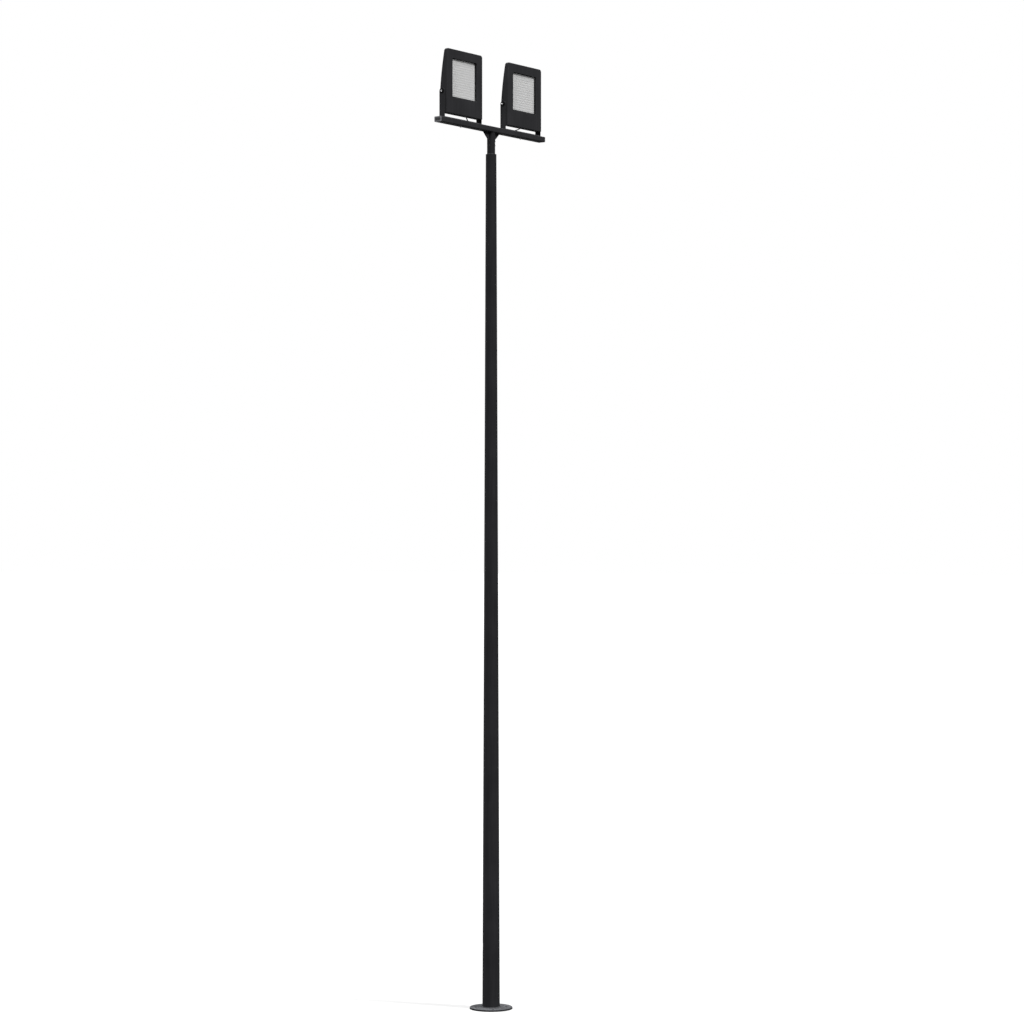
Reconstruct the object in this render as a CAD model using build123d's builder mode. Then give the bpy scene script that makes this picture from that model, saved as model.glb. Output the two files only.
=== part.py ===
"""Floodlight mast: a round tapered steel column on a flanged foot, with a crossarm on top
that carries two flat floodlights, each hung in a U-shaped yoke and tilting about its pivots.

Millimetres. The origin is the centre of the foot plate's underside, +Z is up, the crossarm
lies along X and the floodlights look towards -Y.
"""

import os
from math import pi, radians, tan

from build123d import *

# Foot plate
plate_diameter = 400
plate_thickness = 15
anchor_count = 4
anchor_circle = 290
anchor_hole = 24
anchor_first_angle = 45
plate_edge = 1.5
weld_leg = 5

# Column
column_top = 8000
column_foot_diameter = 164
column_top_diameter = 100
column_wall = 4

# Service door, on the side that faces away from the lamps
door_bottom = 600
door_height = 400
door_width = 85
door_corner = 20
door_gap = 1.5
door_frame_width = 14
door_frame_thickness = 4
door_screw_diameter = 16
door_screw_inset = 35
door_key_radius = 4
door_bridge_height = 32

# Clearances: where a piece lies against another, and where a bolt or tube passes through one
seat = 0.3
snug = 0.05

# Spigot, collar and crossarm socket
collar_height = 12
collar_chamfer = 4
spigot_diameter = 60
spigot_wall = 4
spigot_below = 150
spigot_gap = 40
socket_clearance = 3
socket_wall = 5
socket_length = 210
screw_heights = (85, 125)
screw_diameter = 10
screw_key_radius = 2.5
screw_stand = 3
screw_first_angle = 195
screws_around = 3

# Crossarm
arm_length = 1600
arm_depth = 80
arm_height = 50
arm_wall = 4
arm_corner = 7
arm_overhang = 75
arm_cable_hole = 30
cap_thickness = 5
cap_edge = 1
cap_insert = 20
cap_insert_wall = 3
cap_recess = 1.5
cap_rim = 6
gusset_reach = 86
gusset_drop = 80
gusset_thickness = 8
gusset_nose = 4

# Window of a floodlight, with what is left of the front frame beside, over and under it.
# Heights and depths on a floodlight are measured from its pivot line.
window_width = 364
window_height = 357
window_bottom = -47
window_corner = 10
frame_margin = 83
frame_chin = 152

# Floodlight body
lamp_clearance = 35
lamp_front = 48
lamp_rear = 38
lamp_top_thickness = 28
lamp_back_bulge = 11
lamp_belly_height = -121
lamp_rear_chamfer = 24
lamp_rear_chamfer_height = 34
lamp_top_corner = 25
lamp_bottom_corner = 8
body_wall = 5

# Front frame and what is behind its window
frame_thickness = 16
frame_skin = 4
frame_rim = 5
frame_edge = 2.5
gasket_thickness = 2
gasket_show = 4
glass_recess = 13
glass_thickness = 5
glass_lap = 14
led_panel_thickness = 3
led_panel_gap = 4
led_panel_margin = 8

# Cooling fins and driver compartment
sink_wall = 5
fin_count = 23
fin_thickness = 4
glass_shelf = 13
driver_back_wall = 8
driver_cover_thickness = 3
driver_cover_margin = 30
driver_cover_above = 8
driver_cover_below = 41
driver_cover_gap = 0.5

# Yoke
yoke_thickness = 6
yoke_width = 60
yoke_clearance = 7
yoke_bend = 9
pivot_bolt = 12
pivot_head_flats = 19
pivot_head_height = 8
pivot_washer_diameter = 34
pivot_washer_thickness = 3
yoke_bolt = 12
yoke_bolt_head = 30
yoke_bolt_dome = 4
yoke_bolt_round = 3.6
yoke_nut_flats = 19
yoke_nut_height = 10
yoke_bolt_tail = 4

# Cable gland on the driver cover, and the rubber grommet in the crossarm's rear wall
gland_inset = 45
gland_flats = 22
gland_hex_length = 9
gland_length = 24
gland_depth = 12
gland_taper = 8
grommet_diameter = 24
grommet_neck = 16
grommet_flange = 2

# Lead from the gland into the crossarm: points right of the lamp's centre, behind and above
# its pivot. Both leads run towards the mast, so the right one crosses behind its lamp.
lead_diameter = 10
lead_tail = 12
lead_left_points = (
    (190, 88, -120),
    (200, 111, -138),
    (227, 119, -167),
    (242, 112, -200),
    (244, 90, -234),
)
lead_right_points = (
    (190, 88, -120),
    (182, 112, -139),
    (155, 121, -166),
    (104, 114, -187),
    (44, 99, -201),
    (-4, 83, -226),
)
grommet_left = 236
grommet_right = -32
arc_share = 0.45

# Sizes that follow from the ones above
lamp_width = window_width + 2 * frame_margin
lamp_above_pivot = window_bottom + window_height + frame_margin
lamp_below_pivot = frame_chin - window_bottom
lamp_offset = (arm_length - lamp_width) / 2 - arm_overhang
pivot_height = yoke_thickness + lamp_clearance + lamp_below_pivot
socket_diameter = spigot_diameter + 2 * (socket_clearance + socket_wall)
driver_ceiling = window_bottom - glass_lap - glass_shelf
driver_cover_width = lamp_width - 2 * driver_cover_margin
driver_cover_bottom = driver_cover_below - lamp_below_pivot
driver_cover_height = driver_ceiling - driver_cover_above - driver_cover_bottom
gland_offset = driver_cover_width / 2 - gland_inset
gland_bore = lead_diameter + 2 * seat

os.makedirs("parts", exist_ok=True)


def write(node, name):
    """Label a finished piece and write it as one STEP file."""
    node.part.label = name
    export_step(node.part, f"parts/{name}.step")


def column_radius(z):
    """Outer radius of the tapered column at height z."""
    share = (z - plate_thickness) / (column_top - plate_thickness)
    return (column_foot_diameter + (column_top_diameter - column_foot_diameter) * share) / 2


# Foot plate: a round flange with four anchor holes and an open middle for the supply cable.
with BuildPart() as base_plate:
    with BuildSketch():
        Circle(plate_diameter / 2)
        Circle(column_foot_diameter / 2 - column_wall, mode=Mode.SUBTRACT)
        with PolarLocations(anchor_circle / 2, anchor_count, start_angle=anchor_first_angle):
            Circle(anchor_hole / 2, mode=Mode.SUBTRACT)
    extrude(amount=plate_thickness)
    chamfer(base_plate.faces().sort_by(Axis.Z)[-1].outer_wire().edges(), plate_edge)
write(base_plate, "base_plate")

# Column: a rolled tapered tube with a weld bead round its foot and a door cut in its back.
foot_radius = column_foot_diameter / 2
top_radius = column_top_diameter / 2
with BuildPart() as column:
    with BuildSketch(Plane.XZ):
        Polygon(
            (foot_radius - column_wall, plate_thickness),
            (foot_radius + weld_leg, plate_thickness),
            (column_radius(plate_thickness + weld_leg), plate_thickness + weld_leg),
            (top_radius, column_top),
            (top_radius - column_wall, column_top),
            align=None,
        )
    revolve(axis=Axis.Z)
    with BuildSketch(Plane.XZ):
        with Locations((0, door_bottom + door_height / 2)):
            RectangleRounded(door_width, door_height, door_corner)
    extrude(amount=-plate_diameter / 2, mode=Mode.SUBTRACT)
write(column, "column")


def column_skin(outside, inside):
    """Tapered shell that follows the column's wall, between two distances inside its surface."""
    with BuildPart() as skin:
        with BuildSketch(Plane.XZ):
            Polygon(
                (foot_radius - inside, plate_thickness),
                (foot_radius - outside, plate_thickness),
                (top_radius - outside, column_top),
                (top_radius - inside, column_top),
                align=None,
            )
        revolve(axis=Axis.Z)
    return skin.part


# Door cover: a piece of the column's own wall, with a thin gap all round.
with BuildPart() as door_cover:
    with BuildSketch(Plane.XZ):
        with Locations((0, door_bottom + door_height / 2)):
            RectangleRounded(
                door_width - 2 * door_gap, door_height - 2 * door_gap, door_corner - door_gap
            )
    extrude(amount=-plate_diameter / 2)
    add(column_skin(0, column_wall), mode=Mode.INTERSECT)
    with BuildSketch(Plane.XZ):
        with Locations((0, door_bottom + door_height - door_screw_inset)):
            Circle(door_screw_diameter / 2 + seat)
    extrude(amount=-plate_diameter / 2, mode=Mode.SUBTRACT)
write(door_cover, "door_cover")

# Door frame: the strip welded inside the opening, on which the cover lies.
with BuildPart() as door_frame:
    with BuildSketch(Plane.XZ):
        with Locations((0, door_bottom + door_height / 2)):
            RectangleRounded(
                door_width + door_frame_width, door_height + door_frame_width, door_corner
            )
            RectangleRounded(
                door_width - door_frame_width,
                door_height - door_frame_width,
                door_corner - door_frame_width / 2,
                mode=Mode.SUBTRACT,
            )
    extrude(amount=-plate_diameter / 2)
    add(
        column_skin(column_wall + seat, column_wall + seat + door_frame_thickness),
        mode=Mode.INTERSECT,
    )
write(door_frame, "door_frame")

# Door lock: a bridge behind the cover, with the triangular-key screw that draws the cover to it.
screw_z = door_bottom + door_height - door_screw_inset
screw_face = column_radius(screw_z)
with BuildPart() as door_lock:
    with BuildSketch(Plane.XZ):
        with Locations((0, screw_z)):
            Rectangle(door_width - door_frame_width - 2 * seat, door_bridge_height)
    extrude(amount=-plate_diameter / 2)
    add(
        column_skin(column_wall + seat, column_wall + seat + door_frame_thickness),
        mode=Mode.INTERSECT,
    )
    with BuildSketch(Plane.XZ.offset(-(screw_face - column_wall - door_frame_thickness))):
        with Locations((0, screw_z)):
            Circle(door_screw_diameter / 2)
    extrude(amount=-(column_wall + door_frame_thickness))
    with BuildSketch(Plane.XZ.offset(-screw_face)):
        with Locations((0, screw_z)):
            RegularPolygon(door_key_radius, 3)
    extrude(amount=column_wall / 2, mode=Mode.SUBTRACT)
write(door_lock, "door_lock")

# Collar: the ring that closes the column's top and centres the spigot.
collar_bore = spigot_diameter / 2 + snug
with BuildPart() as top_collar:
    with BuildSketch(Plane.XZ):
        with BuildLine():
            Polyline(
                (collar_bore, column_top - collar_height),
                (top_radius - column_wall, column_top - collar_height),
                (top_radius - column_wall, column_top),
                (top_radius, column_top),
                (top_radius - collar_chamfer, column_top + collar_chamfer),
                (collar_bore, column_top + collar_chamfer),
                close=True,
            )
        make_face()
    revolve(axis=Axis.Z)
write(top_collar, "top_collar")

# Spigot: the tube that stands in the collar and carries the crossarm's socket.
socket_bottom = column_top + collar_chamfer
with BuildPart() as spigot:
    with BuildSketch(Plane.XY.offset(column_top - spigot_below)):
        Circle(spigot_diameter / 2)
        Circle(spigot_diameter / 2 - spigot_wall, mode=Mode.SUBTRACT)
    extrude(amount=spigot_below + socket_length - spigot_gap)
write(spigot, "spigot")

# Socket: the sleeve welded under the crossarm, which slips over the spigot.
arm_bottom = column_top + socket_length
arm_top = arm_bottom + arm_height
screw_angles = [screw_first_angle + 360 / screws_around * turn for turn in range(screws_around)]
screw_planes = [
    Plane(origin=(0, 0, column_top + height), z_dir=Vector(1, 0, 0).rotate(Axis.Z, angle))
    for height in screw_heights
    for angle in screw_angles
]
with BuildPart() as socket:
    with BuildSketch(Plane.XY.offset(socket_bottom)):
        Circle(socket_diameter / 2)
        Circle(socket_diameter / 2 - socket_wall, mode=Mode.SUBTRACT)
    extrude(amount=arm_bottom - socket_bottom)
    for plane in screw_planes:
        with BuildSketch(plane):
            Circle(screw_diameter / 2)
        extrude(amount=socket_diameter, mode=Mode.SUBTRACT)
write(socket, "crossarm_socket")

# Clamping screws: hexagon-socket grub screws through the sleeve, bearing on the spigot.
with BuildPart() as socket_screws:
    for plane in screw_planes:
        with BuildSketch(plane.offset(spigot_diameter / 2)):
            Circle(screw_diameter / 2)
        extrude(amount=socket_diameter / 2 + screw_stand - spigot_diameter / 2)
        with BuildSketch(plane.offset(socket_diameter / 2 + screw_stand)):
            RegularPolygon(screw_key_radius, 6)
        extrude(amount=-screw_stand, mode=Mode.SUBTRACT)
write(socket_screws, "socket_screws")

# Gussets: two triangular plates that brace the crossarm on its socket.
for side, name in ((-1, "left"), (1, "right")):
    root = side * socket_diameter / 2
    with BuildPart() as gusset:
        with BuildSketch(Plane.XZ):
            Polygon(
                (root, arm_bottom),
                (root + side * gusset_reach, arm_bottom),
                (root + side * gusset_reach, arm_bottom - gusset_nose),
                (root + side * gusset_nose, arm_bottom - gusset_drop),
                (root, arm_bottom - gusset_drop),
                align=None,
            )
        extrude(amount=gusset_thickness / 2, both=True)
    write(gusset, f"gusset_{name}")

# Crossarm: a rectangular hollow section, drilled for the yoke bolts, for the cables that come
# up out of the spigot and, in its rear wall, for the grommets of the two leads.
tube_half = arm_length / 2 - cap_thickness
arm_middle = (arm_bottom + arm_top) / 2
grommet_places = ((grommet_left - lamp_offset, "left"), (grommet_right + lamp_offset, "right"))
with BuildPart() as crossarm:
    with BuildSketch(Plane.YZ.offset(-tube_half)):
        with Locations((0, arm_middle)):
            RectangleRounded(arm_depth, arm_height, arm_corner)
            RectangleRounded(
                arm_depth - 2 * arm_wall,
                arm_height - 2 * arm_wall,
                arm_corner - arm_wall,
                mode=Mode.SUBTRACT,
            )
    extrude(amount=2 * tube_half)
    with BuildSketch(Plane.XY.offset(arm_bottom)):
        with Locations((-lamp_offset, 0), (lamp_offset, 0)):
            Circle(yoke_bolt / 2 + snug)
        Circle(arm_cable_hole / 2)
    extrude(amount=arm_wall, mode=Mode.SUBTRACT)
    with BuildSketch(Plane.XY.offset(arm_top)):
        with Locations((-lamp_offset, 0), (lamp_offset, 0)):
            Circle(yoke_bolt / 2 + snug)
    extrude(amount=-arm_wall, mode=Mode.SUBTRACT)
    with BuildSketch(Plane.XZ.offset(-arm_depth / 2)):
        with Locations(*[(x, arm_middle) for x, name in grommet_places]):
            Circle(grommet_neck / 2 + snug)
    extrude(amount=arm_wall, mode=Mode.SUBTRACT)
write(crossarm, "crossarm")

# Grommets: rubber rings snapped into the crossarm's rear wall, a flange on each side of it.
for x, name in grommet_places:
    with BuildPart() as grommet:
        with BuildSketch(Plane.XZ.offset(-arm_depth / 2 - grommet_flange)):
            with Locations((x, arm_middle)):
                Circle(grommet_neck / 2)
        extrude(amount=arm_wall + 2 * grommet_flange)
        with BuildSketch(
            Plane.XZ.offset(-arm_depth / 2 - grommet_flange),
            Plane.XZ.offset(arm_wall - arm_depth / 2),
        ):
            with Locations((x, arm_middle)):
                Circle(grommet_diameter / 2)
        extrude(amount=grommet_flange)
        with BuildSketch(Plane.XZ.offset(-arm_depth / 2 - grommet_flange)):
            with Locations((x, arm_middle)):
                Circle(lead_diameter / 2 + seat)
        extrude(amount=arm_wall + 2 * grommet_flange, mode=Mode.SUBTRACT)
    write(grommet, f"lead_grommet_{name}")

# End plugs: moulded covers pushed into the crossarm's open ends.
for side, name in ((-1, "left"), (1, "right")):
    inner = side * tube_half
    outer = side * arm_length / 2
    with BuildPart() as end_plug:
        with BuildSketch(Plane.YZ.offset(inner)):
            with Locations((0, arm_middle)):
                RectangleRounded(arm_depth, arm_height, arm_corner)
        extrude(amount=side * cap_thickness)
        chamfer(end_plug.faces().sort_by(Axis.X)[0 if side < 0 else -1].edges(), cap_edge)
        with BuildSketch(Plane.YZ.offset(outer)):
            with Locations((0, arm_middle)):
                RectangleRounded(
                    arm_depth - 2 * cap_rim, arm_height - 2 * cap_rim, arm_corner / 2
                )
        extrude(amount=-side * cap_recess, mode=Mode.SUBTRACT)
        with BuildSketch(Plane.YZ.offset(inner)):
            with Locations((0, arm_middle)):
                RectangleRounded(
                    arm_depth - 2 * arm_wall - 2 * seat,
                    arm_height - 2 * arm_wall - 2 * seat,
                    arm_corner - arm_wall,
                )
                Rectangle(
                    arm_depth - 2 * arm_wall - 2 * cap_insert_wall,
                    arm_height - 2 * arm_wall - 2 * cap_insert_wall,
                    mode=Mode.SUBTRACT,
                )
        extrude(amount=-side * cap_insert)
    write(end_plug, f"end_plug_{name}")

# Heights and depths that every floodlight shares, in the mast's own frame
pivot_z = arm_top + pivot_height
lamp_top_z = pivot_z + lamp_above_pivot
lamp_bottom_z = pivot_z - lamp_below_pivot
lamp_centre_z = (lamp_top_z + lamp_bottom_z) / 2
lamp_height = lamp_top_z - lamp_bottom_z
window_centre_z = pivot_z + window_bottom + window_height / 2
lamp_top_rear = lamp_top_thickness - lamp_front
belly_z = pivot_z + lamp_belly_height
arc_z = (belly_z + lamp_top_z) / 2
arc_y = (lamp_rear + lamp_top_rear) / 2 + lamp_back_bulge
frame_back = frame_thickness - lamp_front
glass_front = glass_recess - lamp_front
glass_back = glass_front + glass_thickness
gasket_front = glass_front - gasket_thickness
led_front = glass_back + led_panel_gap
sink_front = led_front + led_panel_thickness
sink_back = sink_front + sink_wall
ceiling_z = pivot_z + driver_ceiling
cover_centre_z = pivot_z + driver_cover_bottom + driver_cover_height / 2
glass_width = window_width + 2 * glass_lap
glass_height = window_height + 2 * glass_lap


def facing_front(y):
    """A sketch plane across the lamp at depth y, drawn in X and Z, that extrudes backwards."""
    return Plane(origin=(0, y, 0), x_dir=(-1, 0, 0), z_dir=(0, 1, 0))


def make_body(x, name):
    """Die-cast body: side walls, cooling fins in the open back and the driver box at the foot."""
    half = lamp_width / 2
    inside = lamp_width - 2 * body_wall
    with BuildPart() as body:
        with BuildSketch(Plane.YZ.offset(x - half)):
            with BuildLine():
                back = Polyline(
                    (lamp_rear, belly_z),
                    (lamp_rear, lamp_bottom_z + lamp_rear_chamfer_height),
                    (lamp_rear - lamp_rear_chamfer, lamp_bottom_z),
                    (frame_back, lamp_bottom_z),
                    (frame_back, lamp_top_z),
                    (lamp_top_rear, lamp_top_z),
                )
                ThreePointArc(back @ 1, (arc_y, arc_z), back @ 0)
            make_face()
        extrude(amount=lamp_width)
        corners = body.edges().filter_by(Axis.Y).group_by(Axis.Z)
        fillet(corners[-1], lamp_top_corner)
        fillet(corners[0], lamp_bottom_corner)
        # room for the light-emitting panel, open to the front
        with BuildSketch(facing_front(frame_back)):
            with Locations((-x, (ceiling_z + lamp_top_z) / 2)):
                RectangleRounded(
                    inside, lamp_top_z - ceiling_z - 2 * body_wall, lamp_top_corner - body_wall
                )
        extrude(amount=sink_front - frame_back, mode=Mode.SUBTRACT)
        # driver box, with a sloping lower back
        with BuildSketch(Plane.YZ.offset(x - inside / 2)):
            Polygon(
                (frame_back, lamp_bottom_z + body_wall),
                (
                    lamp_rear - lamp_rear_chamfer - body_wall / 2,
                    lamp_bottom_z + body_wall,
                ),
                (lamp_rear - driver_back_wall, lamp_bottom_z + lamp_rear_chamfer_height),
                (lamp_rear - driver_back_wall, ceiling_z - body_wall),
                (frame_back, ceiling_z - body_wall),
                align=None,
            )
        extrude(amount=inside, mode=Mode.SUBTRACT)
        # channels between the fins, open to the back and the top
        pitch = (inside + fin_thickness) / fin_count
        with BuildSketch(facing_front(sink_back)):
            with Locations((-x, (ceiling_z + lamp_top_z) / 2 + body_wall)):
                with GridLocations(pitch, 0, fin_count, 1):
                    Rectangle(pitch - fin_thickness, lamp_top_z - ceiling_z)
        extrude(amount=lamp_rear - sink_back, mode=Mode.SUBTRACT)
        # seat of the driver cover
        with BuildSketch(facing_front(lamp_rear - driver_cover_thickness)):
            with Locations((-x, cover_centre_z)):
                Rectangle(
                    driver_cover_width + 2 * driver_cover_gap,
                    driver_cover_height + 2 * driver_cover_gap,
                )
        extrude(amount=driver_cover_thickness, mode=Mode.SUBTRACT)
        # holes for the pivot bolts
        with BuildSketch(Plane.YZ.offset(x - half)):
            with Locations((0, pivot_z)):
                Circle(pivot_bolt / 2 + seat)
        extrude(amount=body_wall, mode=Mode.SUBTRACT)
        with BuildSketch(Plane.YZ.offset(x + half)):
            with Locations((0, pivot_z)):
                Circle(pivot_bolt / 2 + seat)
        extrude(amount=-body_wall, mode=Mode.SUBTRACT)
    write(body, f"lamp_body_{name}")


def make_front(x, name):
    """Front frame with its window, and the gasket, glass and light-emitting panel behind it."""
    with BuildPart() as frame:
        with BuildSketch(facing_front(-lamp_front)):
            with Locations((-x, lamp_centre_z)):
                outline = Rectangle(lamp_width, lamp_height)
            corners = outline.vertices().group_by(Axis.Y)
            fillet(corners[1], lamp_top_corner)
            fillet(corners[0], lamp_bottom_corner)
        extrude(amount=frame_thickness)
        chamfer(frame.faces().sort_by(Axis.Y)[0].edges(), frame_edge)
        with BuildSketch(facing_front(-lamp_front)):
            with Locations((-x, window_centre_z)):
                RectangleRounded(window_width, window_height, window_corner)
        extrude(amount=frame_thickness, mode=Mode.SUBTRACT)
        # hollow back, which leaves a skin, an outer rim and a rim round the glass
        with BuildSketch(facing_front(frame_skin - lamp_front)):
            with Locations((-x, lamp_centre_z)):
                RectangleRounded(
                    lamp_width - 2 * frame_rim,
                    lamp_height - 2 * frame_rim,
                    lamp_top_corner - frame_rim,
                )
            with Locations((-x, window_centre_z)):
                Rectangle(
                    glass_width + 2 * frame_rim, glass_height + 2 * frame_rim, mode=Mode.SUBTRACT
                )
        extrude(amount=frame_thickness - frame_skin, mode=Mode.SUBTRACT)
        with BuildSketch(facing_front(gasket_front)):
            with Locations((-x, window_centre_z)):
                Rectangle(glass_width + 2 * seat, glass_height + 2 * seat)
        extrude(amount=frame_back - gasket_front, mode=Mode.SUBTRACT)
    write(frame, f"front_frame_{name}")

    with BuildPart() as gasket:
        with BuildSketch(facing_front(gasket_front)):
            with Locations((-x, window_centre_z)):
                Rectangle(glass_width, glass_height)
                RectangleRounded(
                    window_width - 2 * gasket_show,
                    window_height - 2 * gasket_show,
                    window_corner - gasket_show,
                    mode=Mode.SUBTRACT,
                )
        extrude(amount=gasket_thickness)
    write(gasket, f"window_gasket_{name}")

    with BuildPart() as glass:
        with BuildSketch(facing_front(glass_front)):
            with Locations((-x, window_centre_z)):
                Rectangle(glass_width, glass_height)
        extrude(amount=glass_thickness)
    write(glass, f"window_glass_{name}")

    with BuildPart() as panel:
        with BuildSketch(facing_front(led_front)):
            with Locations((-x, window_centre_z)):
                Rectangle(window_width + led_panel_margin, window_height + led_panel_margin)
        extrude(amount=led_panel_thickness)
    write(panel, f"led_panel_{name}")


def make_fittings(x, name):
    """Driver cover, cable gland and the two pivot bolts of a floodlight."""
    cover_face = lamp_rear - driver_cover_thickness
    with BuildPart() as cover:
        with BuildSketch(facing_front(cover_face)):
            with Locations((-x, cover_centre_z)):
                Rectangle(driver_cover_width, driver_cover_height)
        extrude(amount=driver_cover_thickness)
    write(cover, f"driver_cover_{name}")

    with BuildPart() as gland:
        with BuildSketch(facing_front(lamp_rear)):
            with Locations((-x - gland_offset, cover_centre_z)):
                RegularPolygon(gland_flats / 2, 6, major_radius=False)
        extrude(amount=gland_hex_length)
        with BuildSketch(facing_front(lamp_rear + gland_hex_length)):
            with Locations((-x - gland_offset, cover_centre_z)):
                Circle(gland_flats / 2)
        extrude(amount=gland_length - gland_hex_length, taper=gland_taper)
        with BuildSketch(facing_front(lamp_rear + gland_length)):
            with Locations((-x - gland_offset, cover_centre_z)):
                Circle(gland_bore / 2)
        extrude(amount=-gland_depth, mode=Mode.SUBTRACT)
    write(gland, f"cable_gland_{name}")

    spacer = yoke_clearance - seat
    outside = lamp_width / 2 + yoke_clearance + yoke_thickness + seat
    with BuildPart() as bolts:
        for way in (-1, 1):
            face = x + way * lamp_width / 2
            with BuildSketch(Plane.YZ.offset(face)):
                with Locations((0, pivot_z)):
                    Circle(pivot_washer_diameter / 2)
            extrude(amount=way * spacer)
            with BuildSketch(Plane.YZ.offset(face - way * body_wall)):
                with Locations((0, pivot_z)):
                    Circle(pivot_bolt / 2)
            extrude(amount=way * (outside - lamp_width / 2 + body_wall))
            with BuildSketch(Plane.YZ.offset(x + way * outside)):
                with Locations((0, pivot_z)):
                    Circle(pivot_washer_diameter / 2)
            extrude(amount=way * pivot_washer_thickness)
            with BuildSketch(Plane.YZ.offset(x + way * (outside + pivot_washer_thickness))):
                with Locations((0, pivot_z)):
                    RegularPolygon(pivot_head_flats / 2, 6, major_radius=False)
            extrude(amount=way * pivot_head_height)
    write(bolts, f"pivot_bolts_{name}")


def make_yoke(x, name):
    """Flat bar bent to a U, bolted to the crossarm, with a round end at each pivot."""
    inner = lamp_width + 2 * yoke_clearance
    outer = inner + 2 * yoke_thickness
    end = yoke_width / 2
    with BuildPart() as yoke:
        with BuildSketch(Plane.XZ.offset(-yoke_width / 2)):
            with Locations((x, arm_top)):
                Rectangle(outer, pivot_height + end, align=(Align.CENTER, Align.MIN))
            with Locations((x, arm_top + yoke_thickness)):
                Rectangle(
                    inner,
                    pivot_height + end,
                    align=(Align.CENTER, Align.MIN),
                    mode=Mode.SUBTRACT,
                )
            bends = vertices().group_by(Axis.Y)
            fillet(bends[1], yoke_bend - yoke_thickness)
            fillet(bends[0], yoke_bend)
        extrude(amount=yoke_width)
        with BuildSketch(Plane.YZ.offset(x - outer / 2)):
            with Locations((0, arm_top + pivot_height / 2)):
                Rectangle(yoke_width, pivot_height)
            with Locations((0, pivot_z)):
                Circle(end)
                Circle(pivot_bolt / 2 + snug, mode=Mode.SUBTRACT)
        extrude(amount=outer, mode=Mode.INTERSECT)
        with BuildSketch(Plane.XY.offset(arm_top)):
            with Locations((x, 0)):
                Circle(yoke_bolt / 2 + snug)
        extrude(amount=yoke_thickness, mode=Mode.SUBTRACT)
    write(yoke, f"yoke_{name}")

    seat_z = arm_top + yoke_thickness
    tail_z = arm_bottom - yoke_nut_height - yoke_bolt_tail
    with BuildPart() as bolt:
        with BuildSketch(Plane.XY.offset(seat_z)):
            with Locations((x, 0)):
                Circle(yoke_bolt_head / 2)
        extrude(amount=yoke_bolt_dome)
        fillet(bolt.edges().group_by(Axis.Z)[-1], yoke_bolt_round)
        with BuildSketch(Plane.XY.offset(seat_z)):
            with Locations((x, 0)):
                Circle(yoke_bolt / 2)
        extrude(amount=tail_z - seat_z)
        with BuildSketch(Plane.XY.offset(arm_bottom)):
            with Locations((x, 0)):
                RegularPolygon(yoke_nut_flats / 2, 6, major_radius=False)
        extrude(amount=-yoke_nut_height)
    write(bolt, f"yoke_bolt_{name}")


def make_lead(x, points, grommet, name):
    """Rubber lead from the floodlight's gland, down behind it, into the crossarm's grommet."""
    gland_end = lamp_rear + gland_length - gland_depth
    route = [Vector(x + gland_offset, gland_end, cover_centre_z)]
    route += [Vector(x + right, behind, pivot_z + above) for right, behind, above in points]
    route += [
        Vector(x + grommet, arm_depth / 2 + lead_tail, arm_middle),
        Vector(x + grommet, arm_depth / 2 - lead_tail, arm_middle),
    ]
    runs = [end - start for start, end in zip(route, route[1:])]
    radii = []
    for before, after in zip(runs, runs[1:]):
        half_turn = radians(before.get_angle(after) / 2)
        radii.append(arc_share * min(before.length, after.length) / tan(half_turn))
    print(f"lead_{name} radii:", [round(radius, 1) for radius in radii])
    with BuildPart() as lead:
        with BuildLine() as path:
            FilletPolyline(*route, radius=radii)
        with BuildSketch(Plane(origin=path.line @ 0, z_dir=path.line % 0)):
            Circle(lead_diameter / 2)
        sweep(path=path.line)
    length = path.wire().length
    share = lead.part.volume / (length * pi * lead_diameter**2 / 4)
    print(f"lead_{name}: {length:.0f} mm long, {share:.3f} of its section times its length")
    write(lead, f"lamp_lead_{name}")


for x, points, grommet, name in (
    (-lamp_offset, lead_left_points, grommet_left, "left"),
    (lamp_offset, lead_right_points, grommet_right, "right"),
):
    make_yoke(x, name)
    make_body(x, name)
    make_front(x, name)
    make_fittings(x, name)
    make_lead(x, points, grommet, name)
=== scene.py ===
import bpy
import numpy as np
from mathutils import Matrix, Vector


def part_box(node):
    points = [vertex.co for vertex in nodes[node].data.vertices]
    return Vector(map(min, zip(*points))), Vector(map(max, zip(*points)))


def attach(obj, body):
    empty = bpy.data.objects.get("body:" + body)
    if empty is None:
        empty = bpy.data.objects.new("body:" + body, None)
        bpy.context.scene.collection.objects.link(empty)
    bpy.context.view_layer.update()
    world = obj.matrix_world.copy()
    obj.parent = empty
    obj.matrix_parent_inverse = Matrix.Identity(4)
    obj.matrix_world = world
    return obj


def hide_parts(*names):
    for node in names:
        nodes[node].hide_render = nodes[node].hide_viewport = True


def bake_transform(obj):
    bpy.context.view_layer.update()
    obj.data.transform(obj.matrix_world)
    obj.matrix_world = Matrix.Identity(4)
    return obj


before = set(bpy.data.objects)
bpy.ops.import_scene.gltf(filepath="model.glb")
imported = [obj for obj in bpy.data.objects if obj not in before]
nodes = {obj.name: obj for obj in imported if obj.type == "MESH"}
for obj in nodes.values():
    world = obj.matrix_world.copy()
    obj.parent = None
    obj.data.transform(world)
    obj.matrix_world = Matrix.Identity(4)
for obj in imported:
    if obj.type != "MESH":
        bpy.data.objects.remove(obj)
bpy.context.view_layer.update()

# Foot plate: a round flange cut from 15 mm steel plate, drilled for four anchor bolts, hot-dip
# galvanised and then powder coated black in one go with the column. Its top is painted lighter,
# partly as dust and rain marks and partly as painted light from above, and the coat is thin on
# its edges.


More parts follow.
